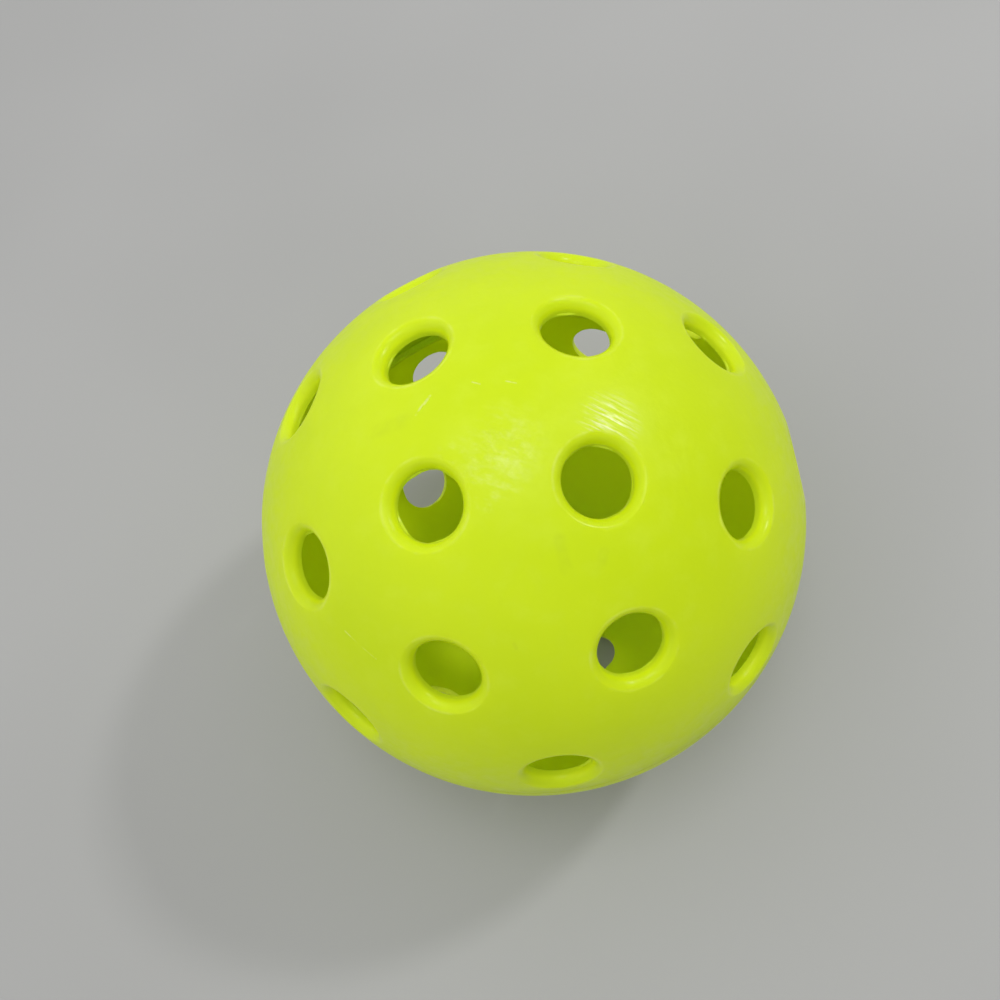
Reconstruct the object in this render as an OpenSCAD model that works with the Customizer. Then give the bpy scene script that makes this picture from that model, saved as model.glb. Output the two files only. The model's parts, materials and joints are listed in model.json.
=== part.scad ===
// Perforated hollow game ball: two half shells lapped and welded at the equator.
// The origin is the ball's centre, +Z is the pole axis and the seam's lap is centred on the XY plane.

/* [Ball] */
// Outside diameter of the ball
ball_d = 74; // [70:0.1:78]
// Thickness of the shell wall
wall = 2; // [1.8:0.05:2.4]

/* [Holes] */
// Diameter of the straight bore at the inner end of each hole
hole_d = 8.1; // [6.5:0.1:8.5]
// How much wider the rounded mouth is than the bore, on each side
mouth_flare = 1.15; // [0.7:0.05:1.25]
// Depth of the rounded mouth, from its rim down to the straight bore
mouth_depth = 1.4; // [1.3:0.05:1.6]
// Angle from the pole to the first ring of holes
first_ring_angle = 21.5; // [20:0.5:22.5]
// Angle from the pole to the second ring of holes
second_ring_angle = 49.5; // [47.5:0.5:51]
// Angle from the pole to the third ring of holes, the one nearest the seam
third_ring_angle = 76.5; // [75:0.5:77]
// Number of holes in the first ring, which has half as many as the other two
first_ring_count = 4; // [3:1:4]
// Turn of the lower half's pattern against the upper half's, in steps between neighbouring holes
lower_turn_steps = 1.5; // [0:0.25:2]
// Turn of the whole pattern about the pole axis, which sets the side that faces -Y
pattern_turn = -8; // [-22:1:22]

/* [Seam] */
// Height of the lap that the upper half drops into the lower half
lap_height = 1.5; // [1:0.1:1.8]
// Thickness of the lap, measured from the inside of the wall
lap_thickness = 0.95; // [0.7:0.05:1.1]
// Clearance between the lap and the lip around it
lap_clearance = 0.05; // [0.02:0.01:0.1]
// Space under the end of the lap, which the weld fills
weld_gap = 0.3; // [0.2:0.05:0.5]
// Height of the weld bead along the inside of the wall
bead_width = 1.6; // [1.2:0.1:2]
// How far the weld bead stands in from the inside of the wall
bead_rise = 0.5; // [0.3:0.05:0.7]
// Depth of the fine groove that marks the seam outside
seam_depth = 0.15; // [0.1:0.05:0.25]
// Width of the fine groove that marks the seam outside
seam_width = 0.4; // [0.2:0.05:0.6]

/* [Hidden] */
$fa = 1;
$fs = 0.1;
shell_colour = "#c6e01a";
bead_colour = "#b4cc14";

// Shell radii
ball_r = ball_d / 2;
inner_r = ball_r - wall;
// Cutters run this far past the faces that they cut
past = 1;

// Hole section: the mouth is an arc that leaves the bore along the axis and ends at the rim
hole_r = hole_d / 2;
mouth_r = hole_r + mouth_flare;
rim_z = sqrt(ball_r * ball_r - mouth_r * mouth_r);
bore_top_z = rim_z - mouth_depth;
mouth_sweep = 2 * atan(mouth_flare / mouth_depth);
mouth_arc_r = mouth_depth / sin(mouth_sweep);
cutter_base_z = inner_r - wall;
cutter_top_z = ball_r + past;

// Ring pattern: each ring lies half a step round from the ring before it
step = 360 / (2 * first_ring_count);
rings = [
    [first_ring_angle, first_ring_count, step],
    [second_ring_angle, 2 * first_ring_count, step / 2],
    [third_ring_angle, 2 * first_ring_count, 0]
];

// Angle at which the shell's section starts to turn, which lies between the holes of every ring
section_start = 10;

// Seam section: the lap reaches as far past the equator as the lip around it does
lap_r = inner_r + lap_thickness;
socket_r = lap_r + lap_clearance;
seam_z = lap_height / 2;
lap_end_z = seam_z - lap_height;
weld_end_z = lap_end_z - weld_gap;
bead_z = (lap_end_z + weld_end_z) / 2;
// The bead's back follows the inside of the wall, which has drawn in a little at its height
bead_back_r = sqrt(inner_r * inner_r - bead_z * bead_z);
bead_arc_r = (bead_width * bead_width / 4 + bead_rise * bead_rise) / (2 * bead_rise);

// One hole's cutter, along +Z
module hole_cutter() {
    rotate_extrude($fn = 64) {
        translate([0, cutter_base_z])
            square([hole_r, cutter_top_z - cutter_base_z]);
        difference() {
            translate([0, bore_top_z])
                square([hole_r + mouth_arc_r, cutter_top_z - bore_top_z]);
            translate([hole_r + mouth_arc_r, bore_top_z])
                circle(r = mouth_arc_r, $fn = 64);
        }
    }
}

// The three rings of one half, about the upper pole
module half_pattern() {
    for (ring = rings)
        for (i = [0 : ring[1] - 1])
            rotate([0, ring[0], ring[2] + i * 360 / ring[1]])
                hole_cutter();
}

// Solid of revolution with a rectangular section, from one radius to another
module band(from_r, to_r, from_z, to_z) {
    rotate_extrude()
        translate([from_r, from_z])
            square([to_r - from_r, to_z - from_z]);
}

// Fine groove round the outside of the seam, at a height
module seam_groove(z) {
    rotate_extrude()
        polygon([
            [ball_r - seam_depth, z],
            [ball_r + seam_depth, z - seam_width],
            [ball_r + seam_depth, z + seam_width]
        ]);
}

// Upper part of the hollow shell down to a height, with one half's holes
module half_shell(from_z) {
    difference() {
        rotate([0, 0, section_start])
            rotate_extrude()
                intersection() {
                    difference() {
                        circle(r = ball_r);
                        circle(r = inner_r);
                    }
                    translate([0, from_z])
                        square(ball_r + past - from_z);
                }
        half_pattern();
    }
}

// Upper half, with the lap that drops inside the lower half
module upper_half_shell() {
    color(shell_colour)
        rotate([0, 0, pattern_turn])
            difference() {
                half_shell(lap_end_z);
                band(lap_r, ball_r + past, lap_end_z - past, seam_z);
                seam_groove(seam_z);
            }
}

// Lower half, turned over, with the lip that stands round the lap
module lower_half_shell() {
    color(shell_colour)
        rotate([180, 0, pattern_turn + lower_turn_steps * step])
            difference() {
                half_shell(-seam_z);
                band(inner_r - wall, socket_r, -seam_z - past, -weld_end_z);
                seam_groove(-seam_z);
            }
}

// Weld that fills the space under the lap and stands in as a rounded bead
module weld_bead() {
    color(bead_colour)
        rotate_extrude($fn = 120) {
            intersection() {
                translate([bead_back_r + bead_arc_r - bead_rise, bead_z])
                    circle(r = bead_arc_r, $fn = 72);
                circle(r = inner_r, $fn = 720);
            }
            translate([bead_back_r - bead_rise / 2, weld_end_z])
                square([socket_r - bead_back_r + bead_rise / 2, weld_gap]);
        }
}

upper_half_shell();
lower_half_shell();
weld_bead();
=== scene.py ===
# Looks of a perforated hollow game ball: moulded half shells, the weld inside, floor, lights and camera
import json
import math

import bpy
import numpy as np
from mathutils import Matrix, Vector, noise


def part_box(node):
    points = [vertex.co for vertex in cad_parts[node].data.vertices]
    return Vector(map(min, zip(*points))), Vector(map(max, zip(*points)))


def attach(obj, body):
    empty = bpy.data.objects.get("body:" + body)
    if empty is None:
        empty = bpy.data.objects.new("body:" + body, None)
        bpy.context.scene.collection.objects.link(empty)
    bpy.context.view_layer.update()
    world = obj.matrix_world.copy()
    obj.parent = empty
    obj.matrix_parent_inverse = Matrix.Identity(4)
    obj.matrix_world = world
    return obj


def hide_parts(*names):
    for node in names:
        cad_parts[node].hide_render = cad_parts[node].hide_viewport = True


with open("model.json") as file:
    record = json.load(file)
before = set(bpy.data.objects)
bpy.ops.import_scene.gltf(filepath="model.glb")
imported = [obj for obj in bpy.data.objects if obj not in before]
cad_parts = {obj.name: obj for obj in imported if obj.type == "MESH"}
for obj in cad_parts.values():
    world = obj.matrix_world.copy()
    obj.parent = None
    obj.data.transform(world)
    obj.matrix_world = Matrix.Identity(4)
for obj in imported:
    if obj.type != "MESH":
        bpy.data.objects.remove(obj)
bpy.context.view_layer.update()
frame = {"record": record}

# Sizes of the ball, in millimetres
MM = 0.001
BALL_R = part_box("upper_half_shell")[1].z / MM
WALL = 2.0
INNER_R = BALL_R - WALL
# Divisions along each edge of the cube that is blown up into a sphere
SPHERE_CUTS = 79

# Holes, as the frame's mounts give them
HOLES = [mount for mount in frame["record"]["mounts"] if mount["kind"] == "bore"]
HOLE_AXES = np.array([hole["axis"] for hole in HOLES])
HOLE_R = HOLES[0]["dims"]["r_mm"]
HOLE_SIDES = 96
MOUTH_FLARE = 1.15
MOUTH_R = HOLE_R + MOUTH_FLARE
MOUTH_DEPTH = 1.4
MOUTH_STEPS = 10
# Rounding of the crease at the mouth's rim, and the slope and length of its run out over the ball
RIM_ROUNDING = 1.2
RIM_STEPS = 4
RIM_RUNOUT = math.radians(4)
RIM_RUNOUT_LENGTH = 1.0
# A hole's cutter stands this far out of the ball
CUTTER_RISE = 1.0
# Ragged flash round the inner end of each hole: how thick it is and how far it can reach in
FLASH_THICK = 0.3
FLASH_REACH = 0.24
# Shape of the flash: how often it widens round a hole, how steeply and how far, and its fine unevenness
FLASH_RAGGED = 1.6
SLIVER_TAPER = 1.5
SLIVER_WIDTH = 1.6
FINE_RAGGED = 4
FINE_WIDTH = 0.25
# Step from hole to hole through the noise, so that no two have the same flash
FLASH_STEP = 7.3

# Seam between the halves
LAP_R = 35.95
SOCKET_R = 36.0
SEAM_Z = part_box("lower_half_shell")[1].z / MM
LAP_END_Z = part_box("upper_half_shell")[0].z / MM
WELD_GAP = 0.3
SOCKET_END_Z = LAP_END_Z - WELD_GAP
GROOVE_DEPTH = 0.15
GROOVE_SLOPE = 0.75
SEAM_SIDES = 256
# Cutters reach this far past the ball
PAST = 8.0

# Weld bead inside the seam, and how much and how often its width waves
BEAD_Z = (LAP_END_Z + SOCKET_END_Z) / 2
BEAD_RISE = 0.5
BEAD_WIDTH = 1.6
BEAD_SIDES = 40
BEAD_WAVE = 0.12
BEAD_WAVE_SCALE = 0.45

# Edges that turn more sharply than this, in degrees, stay sharp
SHELL_SHARP_ANGLE = 25
BEAD_SHARP_ANGLE = 40

# Camera: where it stands round the ball, in degrees and ball radii, and how it frames the ball
CAMERA_AZIMUTH = 0.11
CAMERA_ELEVATION = 68.39
CAMERA_ROLL = 15.73
CAMERA_DISTANCE = 3.905 * BALL_R
CAMERA_LENS = 37.0
CAMERA_SENSOR = 36.0
CAMERA_SHIFT = (-0.0339, 0.0235)
FRAME_SIZE = 1000
# Nearest distance that the camera shows, in metres
NEAREST_SEEN = 0.01

# Colours of the plastic: worn outside, clean and painted paler as glow in the mouths and inside, and in the
# weld a paler painted glow
PLASTIC = (0.597, 0.785, 0.005)
PALE_PLASTIC = (0.64, 0.83, 0.04)
DEEP_PLASTIC = (0.567, 0.755, 0.003)
# Unworn plastic, made paler still as a painted glow of light shining through the wall into the mouths and
# inside
CLEAN_GLOWING_PLASTIC = (0.766, 0.97, 0.006)
# Pale colour of real scratches, also laid on as a painted highlight along the mouth rims and on the rubbed
# patches
SCUFF_AND_HIGHLIGHT = (0.74, 0.85, 0.30)
GRIME = (0.16, 0.17, 0.05)
# Painted glow: the weld's paler colours stand in for light shining through the bead
WELD_GLOW_COLOUR = (0.873, 0.95, 0.02)
MELTED_GLOW_COLOUR = (0.92, 0.97, 0.10)
# Radii from the ball's centre between which the clean plastic with its painted glow turns into the worn
# outside
CLEAN_GLOW_R = INNER_R + 0.6
WORN_R = BALL_R - 0.3
# Distances from a hole's axis between which each mark comes in
MOUTH_EDGE = (MOUTH_R + 0.3, MOUTH_R - 0.1)
RIM_INSIDE = (MOUTH_R - 0.30, MOUTH_R)
RIM_OUTSIDE = (MOUTH_R + 0.30, MOUTH_R + 0.05)
FLASH_EDGE = (HOLE_R + 0.12, HOLE_R - 0.02)
# Levels of a cloud between which each mark comes in
CLOUD_MIDDLE = 0.5
BROAD_LEVELS = (0.30, 0.70)
PALE_LEVELS = (0.45, 0.75)
LINE_LEVELS = (0.50, 0.62)
POLISH_LEVELS = (0.42, 0.58)
# Levels of the strokes between which their painted highlight comes in
HIGHLIGHT_LEVELS = (0.42, 0.78)
SCRATCH_LEVELS = (0.30, 0.62)
SMUDGE_LEVELS = (0.25, 0.75)
RIM_HIGHLIGHT_LEVELS = (0.40, 0.65)
RIPPLE_LEVELS = (0.50, 0.75)
# How far each mark changes the colour beneath it
PALE_CLOUDS = 0.25
# Painted highlight on the mouth rims and painted glow on the flash
RIM_HIGHLIGHT = 0.15
FLASH_GLOW = 0.25
SCRATCH_PALING = 0.5
SMUDGE_DARKENING = 0.07
RIPPLE_GLOW_SHARE = 0.3
# Roughness of the plastic, how far each mark changes it, and the least that it has between polished strokes
PLASTIC_ROUGHNESS = 0.41
MOTTLE_ROUGHNESS = 0.5
DAPPLE_ROUGHNESS = 0.35
SMUDGE_ROUGHNESS = 0.08
MOUTH_SMOOTHNESS = 0.09
LEAST_ROUGHNESS = 0.285
WELD_ROUGHNESS = 0.42
RIPPLE_ROUGHNESS = 0.35
# Heights and depths of the relief, in millimetres
GRAIN_HEIGHT = 0.006
DAPPLE_HEIGHT = 0.025
LINE_DEPTH = 0.03
SCRATCH_DEPTH = 0.02
RIPPLE_HEIGHT = 0.15
# Faint lines in places all over the ball: their course, their length and width in millimetres, and their
# share of the full depth
LINE_COURSE = (0.8, 0.5, 0.3)
LINE_LENGTH = 9.0
LINE_WIDTH = 0.25
FAINT_LINES = 0.35
# Gloss of the plastic, and how much light goes into it and how deep, in millimetres and for each colour
PLASTIC_IOR = 1.5
PLASTIC_GLOSS = 0.20
WELD_GLOSS = 0.30
LIGHT_TAKEN_IN = 0.4
LIGHT_DEPTH = 9.0
LIGHT_DEPTH_SHARES = (1.0, 1.0, 0.3)

# Wear, with painted highlights, on the side that the camera sees, placed in the camera's frame
# Scratches: both ends, and the width in millimetres
SCRATCHES = [
    ((430, 396), (424, 404), 0.24),
    ((422, 405), (416, 415), 0.20),
    ((345, 631), (376, 659), 0.12),
    ((506, 381), (516, 383), 0.13),
    ((472, 382), (480, 384), 0.11),
]
# Smudges: both ends, and the radius in millimetres
SMUDGES = [
    ((372, 432), (408, 420), 1.3),
    ((560, 540), (566, 570), 1.0),
    ((604, 552), (600, 570), 0.8),
    ((500, 598), (501, 604), 0.35),
    ((514, 644), (516, 648), 0.35),
    ((686, 488), (687, 491), 0.30),
    ((678, 466), (679, 469), 0.30),
]
# Share of a scratch's width, and of a patch's radius, at which the mark has its full strength
SCRATCH_CORE = 0.3
PATCH_CORE = 0.2
# Patches rubbed shiny in strokes, with pale strokes that are a painted highlight and sheen: the middle and a
# place along the strokes, then the radius of the patch and the length and width of a stroke in millimetres,
# and how deep and shiny the strokes are and how pale their painted highlight is
WORN_AND_HIGHLIGHT_PATCHES = [
    dict(
        middle=(610, 421), along=(638, 436), radius=4.2,
        length=4.0, width=0.32, depth=2.2, shine=0.22, pale=1.40,
    ),
    dict(
        middle=(504, 442), along=(534, 452), radius=6.0,
        length=1.7, width=1.0, depth=0.3, shine=0.13, pale=0.24,
    ),
    dict(
        middle=(490, 478), along=(520, 489), radius=5.0,
        length=1.6, width=0.9, depth=0.3, shine=0.13, pale=0.24,
    ),
    dict(
        middle=(455, 458), along=(485, 469), radius=3.0,
        length=1.6, width=0.9, depth=0.3, shine=0.10, pale=0.20,
    ),
]

# Floor: plain and pale, with a faint unevenness
FLOOR_COLOUR = (0.40, 0.40, 0.395)
FLOOR_SHADE = (0.38, 0.38, 0.375)
FLOOR_ROUGHNESS = 0.9
FLOOR_CLOUDS = 9.0
FLOOR_LEVELS = (0.35, 0.65)
FLOOR_SIZE = 4

# Light: a wide softbox overhead, a small one to the right, and a soft glow all round, which is strongest from
# the far left. Softboxes: the direction to each one, then its size in metres and its level
LAMP_DISTANCE = 0.7
SOFTBOXES = {
    "overhead_softbox": ((0.0, 0.0, 1.0), 0.22, 0.18),
    "small_softbox": ((0.617, 0.184, 0.765), 0.06, 0.24),
}
GLOW = 0.77
GLOW_LEAN = (-0.38, 0.13, 0.0)


def camera_turn():
    """The camera's own axes in the frame: right, up and back."""
    azimuth = math.radians(CAMERA_AZIMUTH)
    elevation = math.radians(CAMERA_ELEVATION)
    roll = math.radians(CAMERA_ROLL)
    back = Vector((
        math.sin(azimuth) * math.cos(elevation),
        -math.cos(azimuth) * math.cos(elevation),
        math.sin(elevation),
    ))
    level = Vector((math.cos(azimuth), math.sin(azimuth), 0))
    upright = back.cross(level)
    up = upright * math.cos(roll) + level * math.sin(roll)
    return up.cross(back), up, back


def on_ball(place):
    """The point of the ball, in millimetres, that a place in the camera's frame shows."""
    right, up, back = camera_turn()
    focal = FRAME_SIZE * CAMERA_LENS / CAMERA_SENSOR
    across = place[0] - FRAME_SIZE * (0.5 - CAMERA_SHIFT[0])
    down = place[1] - FRAME_SIZE * (0.5 + CAMERA_SHIFT[1])
    sight = (right * across - up * down - back * focal).normalized()
    eye = back * CAMERA_DISTANCE
    towards = sight.dot(eye)
    length = -towards - math.sqrt(towards ** 2 - eye.length_squared + BALL_R ** 2)
    return eye + sight * length


def only(obj):
    """Makes an object the one that is selected and active."""
    bpy.ops.object.select_all(action="DESELECT")
    obj.select_set(True)
    bpy.context.view_layer.objects.active = obj


def in_edit_mode(*steps):
    """Runs steps in edit mode on all of the active object."""
    bpy.ops.object.mode_set(mode="EDIT")
    bpy.ops.mesh.select_all(action="SELECT")
    for step in steps:
        step()
    bpy.ops.object.mode_set(mode="OBJECT")


def face_outwards():
    """Turns the selected faces outwards."""
    bpy.ops.mesh.normals_make_consistent(inside=False)


def modified(obj, kind, **settings):
    """Adds a modifier to an object and applies it."""
    only(obj)
    modifier = obj.modifiers.new(kind.title(), kind)
    for setting, value in settings.items():
        setattr(modifier, setting, value)
    bpy.ops.object.modifier_apply(modifier=modifier.name)
    return obj


def joined(objects):
    """Joins objects into the first of them."""
    only(objects[0])
    for obj in objects:
        obj.select_set(True)
    bpy.ops.object.join()
    return objects[0]


def combined(obj, tool, operation):
    """Cuts, crosses or merges an object with another, which is used up."""
    modified(obj, "BOOLEAN", operation=operation, object=tool, solver="MANIFOLD")
    bpy.data.objects.remove(tool)


def sphere(radius):
    """A cube, finely divided and blown up into a sphere of even four-sided faces."""
    bpy.ops.object.select_all(action="DESELECT")
    bpy.ops.mesh.primitive_cube_add(size=2 * radius)
    obj = bpy.context.object
    in_edit_mode(lambda: bpy.ops.mesh.subdivide(number_cuts=SPHERE_CUTS))
    return modified(obj, "CAST", factor=1.0, size=radius, use_radius_as_size=False)


def lathe(rows, sides):
    """A disc drawn up through rows of radius and height, as on a lathe, about +Z."""
    bpy.ops.object.select_all(action="DESELECT")
    (first_r, first_z), *others = rows
    bpy.ops.mesh.primitive_circle_add(
        vertices=sides, radius=first_r, fill_type="NGON", location=(0, 0, first_z)
    )
    bpy.ops.object.transform_apply(location=True)
    obj = bpy.context.object
    bpy.ops.object.mode_set(mode="EDIT")
    last_r, last_z = first_r, first_z
    for r, z in others:
        bpy.ops.mesh.extrude_region_move(TRANSFORM_OT_translate={"value": (0, 0, z - last_z)})
        bpy.ops.transform.resize(value=(r / last_r, r / last_r, 1), center_override=(0, 0, z))
        last_r, last_z = r, z
    bpy.ops.object.mode_set(mode="OBJECT")
    in_edit_mode(face_outwards)
    return obj


def hollow_ball():
    """The whole ball's wall: an outer sphere with an inner one inside it, turned inside out."""
    inner = sphere(INNER_R)
    in_edit_mode(bpy.ops.mesh.flip_normals)
    return joined([sphere(BALL_R), inner])


def hole_rows():
    """Radius and height of a hole's section, from inside the ball to outside it."""
    inner_edge_z = math.sqrt(INNER_R ** 2 - HOLE_R ** 2)
    bore_top_z = math.sqrt(BALL_R ** 2 - MOUTH_R ** 2) - MOUTH_DEPTH
    sweep = 2 * math.atan(MOUTH_FLARE / MOUTH_DEPTH)
    arc_r = MOUTH_DEPTH / math.sin(sweep)
    rows = [
        (HOLE_R, inner_edge_z - WALL),
        (HOLE_R, inner_edge_z + FLASH_THICK / 2),
        (HOLE_R, inner_edge_z + FLASH_THICK),
        (HOLE_R, bore_top_z),
    ]
    # The mouth's arc stops short of the crease by the length that the rounding takes
    crease = math.pi / 2 - sweep + math.asin(MOUTH_R / BALL_R)
    half_rounding = RIM_ROUNDING * math.tan(crease / 2)
    arc_end = sweep - half_rounding / arc_r
    for i in range(1, MOUTH_STEPS + 1):
        turn = arc_end * i / MOUTH_STEPS
        rows.append((HOLE_R + arc_r * (1 - math.cos(turn)), bore_top_z + arc_r * math.sin(turn)))
    # The rounding turns from the arc's slope almost to the ball's own
    turn_left = crease - RIM_RUNOUT
    for i in range(1, RIM_STEPS + 1):
        r, z = rows[-1]
        slope = math.pi / 2 - arc_end - turn_left * (i - 0.5) / RIM_STEPS
        length = RIM_ROUNDING * turn_left / RIM_STEPS
        rows.append((r + length * math.cos(slope), z + length * math.sin(slope)))
    # Then it runs straight out over the ball
    r, z = rows[-1]
    slope = math.pi / 2 - arc_end - turn_left
    end_r = r + RIM_RUNOUT_LENGTH * math.cos(slope)
    rows.append((end_r, z + RIM_RUNOUT_LENGTH * math.sin(slope)))
    rows.append((end_r, BALL_R + CUTTER_RISE))
    return rows


def flash_reach(around, hole_number):
    """How far the flash reaches in at an angle round a hole: mostly a thin edge, with a few wider slivers."""
    place = Vector((math.cos(around), math.sin(around), 0)) * FLASH_RAGGED
    place.z = FLASH_STEP * hole_number
    wide = max(noise.noise(place), 0) ** SLIVER_TAPER * SLIVER_WIDTH
    fine = abs(noise.noise(place * FINE_RAGGED)) * FINE_WIDTH
    return FLASH_REACH * min(wide + fine, 1)


def hole_cutters(holes):
    """One tool that cuts all of these holes, each with its own ragged flash."""
    pattern = lathe(hole_rows(), HOLE_SIDES)
    # The flash narrows the rows up to half its thickness, and this height lies above them
    flash_top = math.sqrt(INNER_R ** 2 - HOLE_R ** 2) + FLASH_THICK * 3 / 4
    cutters = []
    for hole in holes:
        cutter = bpy.data.objects.new("hole_cutter", pattern.data.copy())
        bpy.context.collection.objects.link(cutter)
        for vertex in cutter.data.vertices:
            if vertex.co.z < flash_top:
                around = math.atan2(vertex.co.y, vertex.co.x)
                narrowing = 1 - flash_reach(around, HOLES.index(hole)) / HOLE_R
                vertex.co.x *= narrowing
                vertex.co.y *= narrowing
        lean = Vector((0, 0, 1)).rotation_difference(Vector(hole["axis"]))
        cutter.data.transform(lean.to_matrix().to_4x4())
        cutters.append(cutter)
    bpy.data.objects.remove(pattern)
    return joined(cutters)


def seam_cutter(side, step_r, step_z):
    """What is cut away beyond the seam on one side of the ball: a groove, a step and then the open middle."""
    groove_r = BALL_R - GROOVE_DEPTH
    reach = BALL_R + PAST
    groove_top = (reach - groove_r) / GROOVE_SLOPE
    rows = [
        (reach, -side * reach),
        (reach, SEAM_Z + side * groove_top),
        (groove_r, SEAM_Z),
        (step_r, SEAM_Z),
        (step_r, step_z),
    ]
    return lathe(rows, SEAM_SIDES)


def half_shell(name, side, step_r, step_z):
    """One half of the ball, with its rim at the seam and its holes."""
    shell = hollow_ball()
    combined(shell, seam_cutter(side, step_r, step_z), "DIFFERENCE")
    holes = [hole for hole in HOLES if hole["axis"][2] * side > 0]
    combined(shell, hole_cutters(holes), "DIFFERENCE")
    shell.name = name
    return shell


def weld_bead():
    """The weld: a wavy bead along the inside of the seam, and the filling of the space under the lap."""
    back_r = math.sqrt(INNER_R ** 2 - BEAD_Z ** 2)
    arc_r = (BEAD_WIDTH ** 2 / 4 + BEAD_RISE ** 2) / (2 * BEAD_RISE)
    bpy.ops.object.select_all(action="DESELECT")
    bpy.ops.mesh.primitive_torus_add(
        major_radius=back_r + arc_r - BEAD_RISE, minor_radius=arc_r,
        major_segments=2 * SEAM_SIDES, minor_segments=BEAD_SIDES, location=(0, 0, BEAD_Z)
    )
    bpy.ops.object.transform_apply(location=True)
    bead = bpy.context.object
    for vertex in bead.data.vertices:
        level = vertex.co.z - BEAD_Z
        swell = 1 + BEAD_WAVE * noise.noise(vertex.co * BEAD_WAVE_SCALE)
        vertex.co.z = BEAD_Z + level * swell
    room = sphere(INNER_R)
    combined(room, lathe([(SOCKET_R, SOCKET_END_Z), (SOCKET_R, LAP_END_Z)], SEAM_SIDES), "UNION")
    combined(bead, room, "INTERSECT")
    bead.name = "welded_seam"
    return bead


def mark_holes(piece):
    """Gives each vertex its distance from the nearest hole's axis, in millimetres."""
    vertices = piece.data.vertices
    places = np.empty(3 * len(vertices))
    vertices.foreach_get("co", places)
    places = places.reshape(-1, 3)
    along = (places @ HOLE_AXES.T).max(axis=1)
    across = np.sqrt(np.maximum((places ** 2).sum(axis=1) - along ** 2, 0))
    marks = piece.data.attributes.new("hole_distance", "FLOAT", "POINT")
    marks.data.foreach_set("value", across.astype(np.float32))


def finished(piece, node, material, sharp_angle):
    """Brings a piece to metres, smooths it, gives it its finish and lets it stand for its CAD node."""
    mark_holes(piece)
    piece.data.transform(Matrix.Scale(MM, 4))
    piece.data.materials.clear()
    piece.data.materials.append(material)
    only(piece)
    bpy.ops.object.shade_smooth_by_angle(angle=math.radians(sharp_angle))
    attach(piece, "root")
    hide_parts(node)


class Link:
    """A value in a node tree, which a sum can use as it uses a number."""

    def __init__(self, tree, socket=None):
        self.tree = tree
        self.socket = socket

    def node(self, kind, settings, sockets, output=0):
        """Adds a node: its settings first, then the values or links of its sockets."""
        node = self.tree.nodes.new(kind)
        for setting, value in settings.items():
            setattr(node, setting, value)
        for name, value in sockets.items():
            if isinstance(value, Link):
                self.tree.links.new(value.socket, node.inputs[name])
            else:
                node.inputs[name].default_value = value
        return Link(self.tree, node.outputs[output])

    def maths(self, operation, *values, clamp=False):
        settings = {"operation": operation, "use_clamp": clamp}
        return self.node("ShaderNodeMath", settings, dict(enumerate(values)))

    def vector(self, operation, *values, output=0):
        return self.node("ShaderNodeVectorMath", {"operation": operation}, dict(enumerate(values)), output)

    def __add__(self, other):
        return self.maths("ADD", self, other)

    def __sub__(self, other):
        return self.maths("SUBTRACT", self, other)

    def __mul__(self, other):
        return self.maths("MULTIPLY", self, other)

    def __rsub__(self, other):
        return self.maths("SUBTRACT", other, self)

    __radd__ = __add__
    __rmul__ = __mul__

    def larger(self, other):
        return self.maths("MAXIMUM", self, other)

    def between(self, low, high):
        """0 up to the first value and 1 from the second, with a smooth step between them."""
        sockets = {"Value": self, "From Min": low, "From Max": high}
        return self.node("ShaderNodeMapRange", {"interpolation_type": "SMOOTHSTEP"}, sockets)

    def mixed(self, from_colour, to_colour):
        """A colour that goes from the first to the second as this value goes from 0 to 1."""
        colours = {6: from_colour, 7: to_colour}
        for socket, colour in colours.items():
            if not isinstance(colour, Link):
                colours[socket] = (*colour, 1)
        return self.node("ShaderNodeMix", {"data_type": "RGBA"}, {0: self, **colours}, 2)

    def cloud(self, scale, detail=2.0, roughness=0.5):
        """Noise at this place, about 0.5 on the whole."""
        sockets = {"Vector": self, "Scale": scale, "Detail": detail, "Roughness": roughness}
        return self.node("ShaderNodeTexNoise", {}, sockets)

    def swing(self):
        """How far a cloud is above or below its middle."""
        return self - CLOUD_MIDDLE


def new_material(name):
    """An empty material with its shader, and a link to start its nodes from."""
    material = bpy.data.materials.new(name)
    material.use_nodes = True
    return material, material.node_tree.nodes["Principled BSDF"], Link(material.node_tree)


def feed(shader, socket, link):
    """Feeds a shader's socket from a link."""
    link.tree.links.new(link.socket, shader.inputs[socket])


def ball_place(start):
    """The place on the ball, in millimetres."""
    metres = start.node("ShaderNodeTexCoord", {}, {}, "Object")
    return start.node("ShaderNodeVectorMath", {"operation": "SCALE"}, {0: metres, "Scale": 1 / MM})


def brushed(place, along, length, width):
    """Fine lines that run one way over the ball: noise drawn out along a direction."""
    turn = Vector(along).to_track_quat("X", "Z").to_euler()
    sockets = {"Vector": place, "Rotation": turn, "Scale": (length, width, width)}
    drawn = place.node("ShaderNodeMapping", {"vector_type": "TEXTURE"}, sockets)
    return drawn.cloud(scale=1.0, roughness=0.6)


def scratch_mask(place, scratch):
    """1 along a scratch on the ball and 0 away from it."""
    start, end, width = scratch
    start = on_ball(start)
    course = on_ball(end) - start
    from_start = place.vector("SUBTRACT", place, start)
    share = place.vector("DOT_PRODUCT", from_start, course, output=1)
    share = place.maths("MULTIPLY", share, 1 / course.length_squared, clamp=True)
    sockets = {0: tuple(course), "Scale": share}
    nearest = place.node("ShaderNodeVectorMath", {"operation": "SCALE"}, sockets)
    away = place.vector("DISTANCE", from_start, nearest, output=1)
    return away.between(width, width * SCRATCH_CORE)


def patch_mask(place, middle, radius):
    """1 in the middle of a round patch of the ball, fading to 0 at its edge."""
    away = place.vector("DISTANCE", place, on_ball(middle), output=1)
    return away.between(radius, radius * PATCH_CORE)


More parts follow.
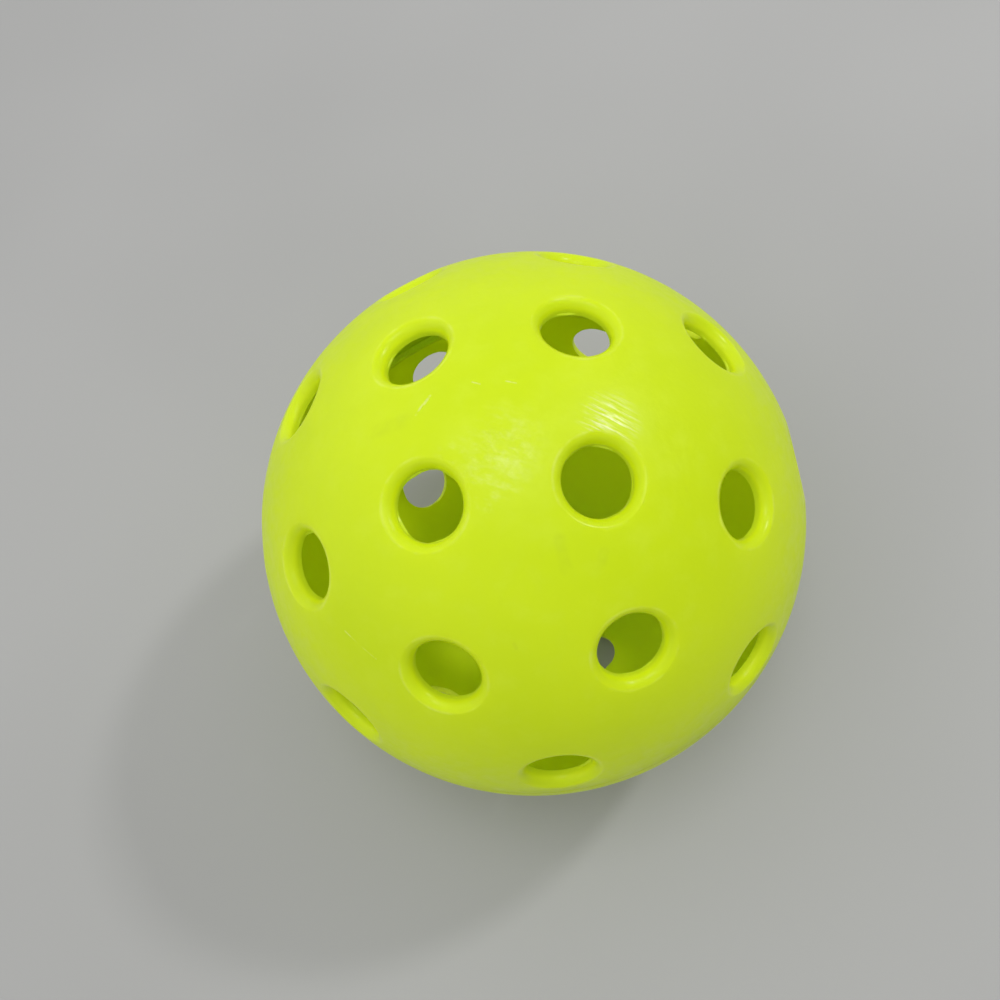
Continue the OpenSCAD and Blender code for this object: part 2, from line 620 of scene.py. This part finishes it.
def moulded_plastic():
    """Waxy moulded plastic, worn by play: clouded colour, fine grain, scratches, scuffs and smudges, with
    painted highlights and painted glow.
    """
    material, shader, start = new_material("moulded_plastic")
    place = ball_place(start)
    hole_distance = start.node("ShaderNodeAttribute", {"attribute_name": "hole_distance"}, {}, "Fac")
    centre_distance = place.vector("LENGTH", place, output=1)

    # The worn outside fades into clean plastic, painted paler as glow of light through the wall, down each
    # mouth and over the inside, and the mouths lie within their rims
    outside = centre_distance.between(CLEAN_GLOW_R, WORN_R)
    mouth = hole_distance.between(*MOUTH_EDGE)

    # Unevenness of the moulding, from broad clouds to fine grain
    broad = place.cloud(scale=0.055)
    mottle = place.cloud(scale=0.32, detail=3.0, roughness=0.6)
    dapple = place.cloud(scale=0.85)
    grain = place.cloud(scale=2.6, roughness=0.6)

    # Strokes worn into the plastic: faint lines in places all over, and the worn patches on the side in view,
    # whose pale strokes are a painted highlight
    lines = brushed(place, LINE_COURSE, LINE_LENGTH, LINE_WIDTH)
    line_height = lines.swing() * broad.between(*LINE_LEVELS) * FAINT_LINES
    polished = 0.0
    painted_highlight = 0.0
    for worn in WORN_AND_HIGHLIGHT_PATCHES:
        course = on_ball(worn["along"]) - on_ball(worn["middle"])
        strokes = brushed(place, course, worn["length"], worn["width"])
        patch = patch_mask(place, worn["middle"], worn["radius"]) * (1 - mouth)
        line_height = line_height + strokes.swing() * patch * worn["depth"]
        polished = strokes.between(*POLISH_LEVELS) * patch * worn["shine"] + polished
        painted_highlight = strokes.between(*HIGHLIGHT_LEVELS) * patch * worn["pale"] + painted_highlight

    # Scratches and smudges, broken up by clouds
    scratched = scratch_mask(place, SCRATCHES[0])
    for scratch in SCRATCHES[1:]:
        scratched = scratched.larger(scratch_mask(place, scratch))
    scratched = scratched * place.cloud(scale=1.4).between(*SCRATCH_LEVELS) * outside
    smudged = scratch_mask(place, SMUDGES[0])
    for smudge in SMUDGES[1:]:
        smudged = smudged.larger(scratch_mask(place, smudge))
    smudged = smudged * place.cloud(scale=0.5, detail=3.0).between(*SMUDGE_LEVELS) * outside

    # Edges painted paler: a painted highlight in places along the rim of each mouth, and painted glow of
    # light through the thin flash along the bore
    rim = hole_distance.between(*RIM_INSIDE)
    rim = rim * hole_distance.between(*RIM_OUTSIDE)
    rim = rim * outside * mottle.between(*RIM_HIGHLIGHT_LEVELS)
    flash = hole_distance.between(*FLASH_EDGE)

    colour = broad.between(*BROAD_LEVELS).mixed(DEEP_PLASTIC, PLASTIC)
    colour = (mottle.between(*PALE_LEVELS) * PALE_CLOUDS).mixed(colour, PALE_PLASTIC)
    # Painted glow: the mouths and the inside take the paler clean plastic
    colour = outside.mixed(CLEAN_GLOWING_PLASTIC, colour)
    # Painted highlight along the mouth rims, and painted glow on the flash
    colour = (rim * RIM_HIGHLIGHT).mixed(colour, SCUFF_AND_HIGHLIGHT)
    colour = (flash * FLASH_GLOW).mixed(colour, PALE_PLASTIC)
    # Painted highlight and sheen: pale strokes laid over the rubbed patches where the lamps' reflections fall
    colour = painted_highlight.mixed(colour, SCUFF_AND_HIGHLIGHT)
    colour = (scratched * SCRATCH_PALING).mixed(colour, SCUFF_AND_HIGHLIGHT)
    colour = (smudged * SMUDGE_DARKENING).mixed(colour, GRIME)
    feed(shader, "Base Color", colour)

    roughness = PLASTIC_ROUGHNESS + mottle.swing() * MOTTLE_ROUGHNESS + dapple.swing() * DAPPLE_ROUGHNESS
    roughness = roughness + smudged * SMUDGE_ROUGHNESS - mouth * MOUTH_SMOOTHNESS
    feed(shader, "Roughness", roughness.larger(LEAST_ROUGHNESS) - polished)

    height = grain.swing() * GRAIN_HEIGHT + dapple.swing() * DAPPLE_HEIGHT
    height = height + line_height * LINE_DEPTH - scratched * SCRATCH_DEPTH
    bump = start.node("ShaderNodeBump", {}, {"Strength": 1.0, "Distance": MM, "Height": height})
    feed(shader, "Normal", bump)

    shader.inputs["IOR"].default_value = PLASTIC_IOR
    shader.inputs["Specular IOR Level"].default_value = PLASTIC_GLOSS
    shader.inputs["Subsurface Weight"].default_value = LIGHT_TAKEN_IN
    shader.inputs["Subsurface Radius"].default_value = LIGHT_DEPTH_SHARES
    shader.inputs["Subsurface Scale"].default_value = LIGHT_DEPTH * MM
    return material


def melted_plastic():
    """The weld: the same plastic, painted paler as glow of light shining through it, dull where it was
    melted, with ripples along the bead.
    """
    material, shader, start = new_material("melted_plastic")
    place = ball_place(start)
    ripple = place.cloud(scale=0.9, detail=3.0, roughness=0.6)
    broad = place.cloud(scale=0.12)
    # Painted glow: paler colours on the bead and its ripples stand in for light shining through it
    colour = broad.between(*BROAD_LEVELS).mixed(CLEAN_GLOWING_PLASTIC, WELD_GLOW_COLOUR)
    feed(shader, "Base Color", (ripple.between(*RIPPLE_LEVELS) * RIPPLE_GLOW_SHARE).mixed(colour, MELTED_GLOW_COLOUR))
    feed(shader, "Roughness", WELD_ROUGHNESS + ripple.swing() * RIPPLE_ROUGHNESS)
    height = ripple * RIPPLE_HEIGHT
    bump = start.node("ShaderNodeBump", {}, {"Strength": 1.0, "Distance": MM, "Height": height})
    feed(shader, "Normal", bump)
    shader.inputs["IOR"].default_value = PLASTIC_IOR
    shader.inputs["Specular IOR Level"].default_value = WELD_GLOSS
    return material


def softbox(name, direction, size, level):
    """A square lamp that faces the ball. At level 1, a white surface square to it shows as white."""
    lamp_data = bpy.data.lights.new(name, "AREA")
    lamp_data.size = size
    lamp_data.energy = level * (math.pi * LAMP_DISTANCE) ** 2
    lamp = bpy.data.objects.new(name, lamp_data)
    bpy.context.collection.objects.link(lamp)
    lamp.location = Vector(direction).normalized() * LAMP_DISTANCE
    lamp.rotation_mode = "QUATERNION"
    lamp.rotation_quaternion = lamp.location.to_track_quat("Z", "Y")


# Ball
shell_finish = moulded_plastic()
upper_shell = half_shell("upper_shell", 1, LAP_R, LAP_END_Z)
finished(upper_shell, "upper_half_shell", shell_finish, SHELL_SHARP_ANGLE)
lower_shell = half_shell("lower_shell", -1, SOCKET_R, SOCKET_END_Z)
finished(lower_shell, "lower_half_shell", shell_finish, SHELL_SHARP_ANGLE)
finished(weld_bead(), "weld_bead", melted_plastic(), BEAD_SHARP_ANGLE)

# Floor
floor_paint, floor_shader, floor_start = new_material("floor_paint")
floor_cloud = floor_start.node("ShaderNodeTexCoord", {}, {}, "Object").cloud(scale=FLOOR_CLOUDS)
feed(floor_shader, "Base Color", floor_cloud.between(*FLOOR_LEVELS).mixed(FLOOR_SHADE, FLOOR_COLOUR))
floor_shader.inputs["Roughness"].default_value = FLOOR_ROUGHNESS
bpy.ops.object.select_all(action="DESELECT")
bpy.ops.mesh.primitive_plane_add(size=FLOOR_SIZE, location=(0, 0, -BALL_R * MM))
floor = bpy.context.object
floor.name = "floor"
floor.data.materials.append(floor_paint)

# Camera
right, up, back = camera_turn()
camera_data = bpy.data.cameras.new("photo_camera")
camera_data.sensor_width = CAMERA_SENSOR
camera_data.lens = CAMERA_LENS
camera_data.shift_x, camera_data.shift_y = CAMERA_SHIFT
camera_data.clip_start = NEAREST_SEEN
camera = bpy.data.objects.new("photo_camera", camera_data)
bpy.context.collection.objects.link(camera)
turn = Matrix((right, up, back)).transposed().to_4x4()
camera.matrix_world = Matrix.Translation(back * CAMERA_DISTANCE * MM) @ turn
bpy.context.scene.camera = camera

# Light
for softbox_name, (direction, size, level) in SOFTBOXES.items():
    softbox(softbox_name, direction, size, level)
world = bpy.data.worlds.new("studio")
world.use_nodes = True
background = world.node_tree.nodes["Background"]
background.inputs["Color"].default_value = (1, 1, 1, 1)
sky = Link(world.node_tree)
towards = sky.node("ShaderNodeTexCoord", {}, {}, "Generated")
lean = sky.vector("DOT_PRODUCT", towards, GLOW_LEAN, output=1)
feed(background, "Strength", GLOW + lean * GLOW)
bpy.context.scene.world = world

bpy.context.scene.view_settings.view_transform = "Standard"
